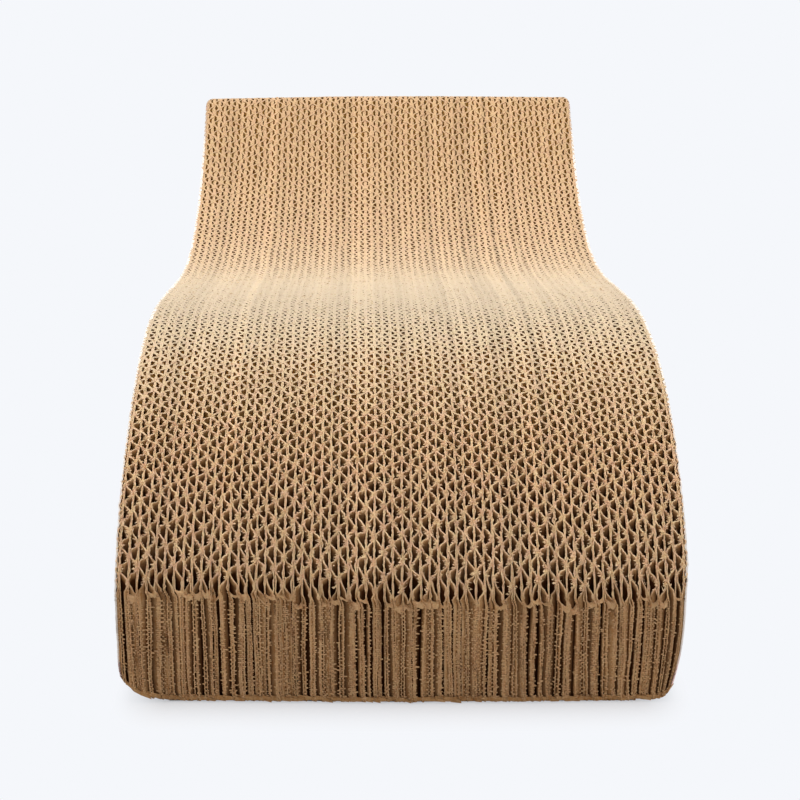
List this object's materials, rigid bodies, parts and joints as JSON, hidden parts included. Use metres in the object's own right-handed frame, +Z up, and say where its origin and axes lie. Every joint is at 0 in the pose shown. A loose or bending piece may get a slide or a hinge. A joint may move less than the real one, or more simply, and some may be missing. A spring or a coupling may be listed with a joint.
{
  "type": "cat scratcher",
  "caption": "Chaise-shaped cat scratcher: corrugated boards glued face to face on edge, with a hump, a lying hollow and a raised head rest, closed by thin printed side sheets.",
  "frame": {"origin": "centre of the underside, at floor level", "axes": "+X across the boards to the right, +Y from the low front face to the head rest, +Z up"},
  "size_m": [0.252, 0.592, 0.1687],
  "materials": {
    "corrugated_board": "matte",
    "printed_side": "matte"
  },
  "bodies": {
    "root": {"side_sheet_left": "printed_side", "board_01": "corrugated_board", "board_02": "corrugated_board", "board_03": "corrugated_board", "board_04": "corrugated_board", "board_05": "corrugated_board", "board_06": "corrugated_board", "board_07": "corrugated_board", "board_08": "corrugated_board", "board_09": "corrugated_board", "board_10": "corrugated_board", "board_11": "corrugated_board", "board_12": "corrugated_board", "board_13": "corrugated_board", "board_14": "corrugated_board", "board_15": "corrugated_board", "board_16": "corrugated_board", "board_17": "corrugated_board", "board_18": "corrugated_board", "board_19": "corrugated_board", "board_20": "corrugated_board", "board_21": "corrugated_board", "board_22": "corrugated_board", "board_23": "corrugated_board", "board_24": "corrugated_board", "board_25": "corrugated_board", "board_26": "corrugated_board", "board_27": "corrugated_board", "board_28_29": "corrugated_board", "board_30_31": "corrugated_board", "board_32_33": "corrugated_board", "board_34_35": "corrugated_board", "board_36": "corrugated_board", "board_37": "corrugated_board", "board_38": "corrugated_board", "board_39": "corrugated_board", "board_40": "corrugated_board", "board_41": "corrugated_board", "board_42": "corrugated_board", "board_43": "corrugated_board", "board_44": "corrugated_board", "board_45": "corrugated_board", "board_46": "corrugated_board", "board_47": "corrugated_board", "board_48": "corrugated_board", "board_49": "corrugated_board", "board_50": "corrugated_board", "board_51": "corrugated_board", "board_52": "corrugated_board", "board_53": "corrugated_board", "board_54": "corrugated_board", "board_55": "corrugated_board", "board_56": "corrugated_board", "board_57": "corrugated_board", "board_58": "corrugated_board", "board_59": "corrugated_board", "board_60": "corrugated_board", "board_61": "corrugated_board", "board_62": "corrugated_board", "side_sheet_right": "printed_side"}
  },
  "joints": []
}
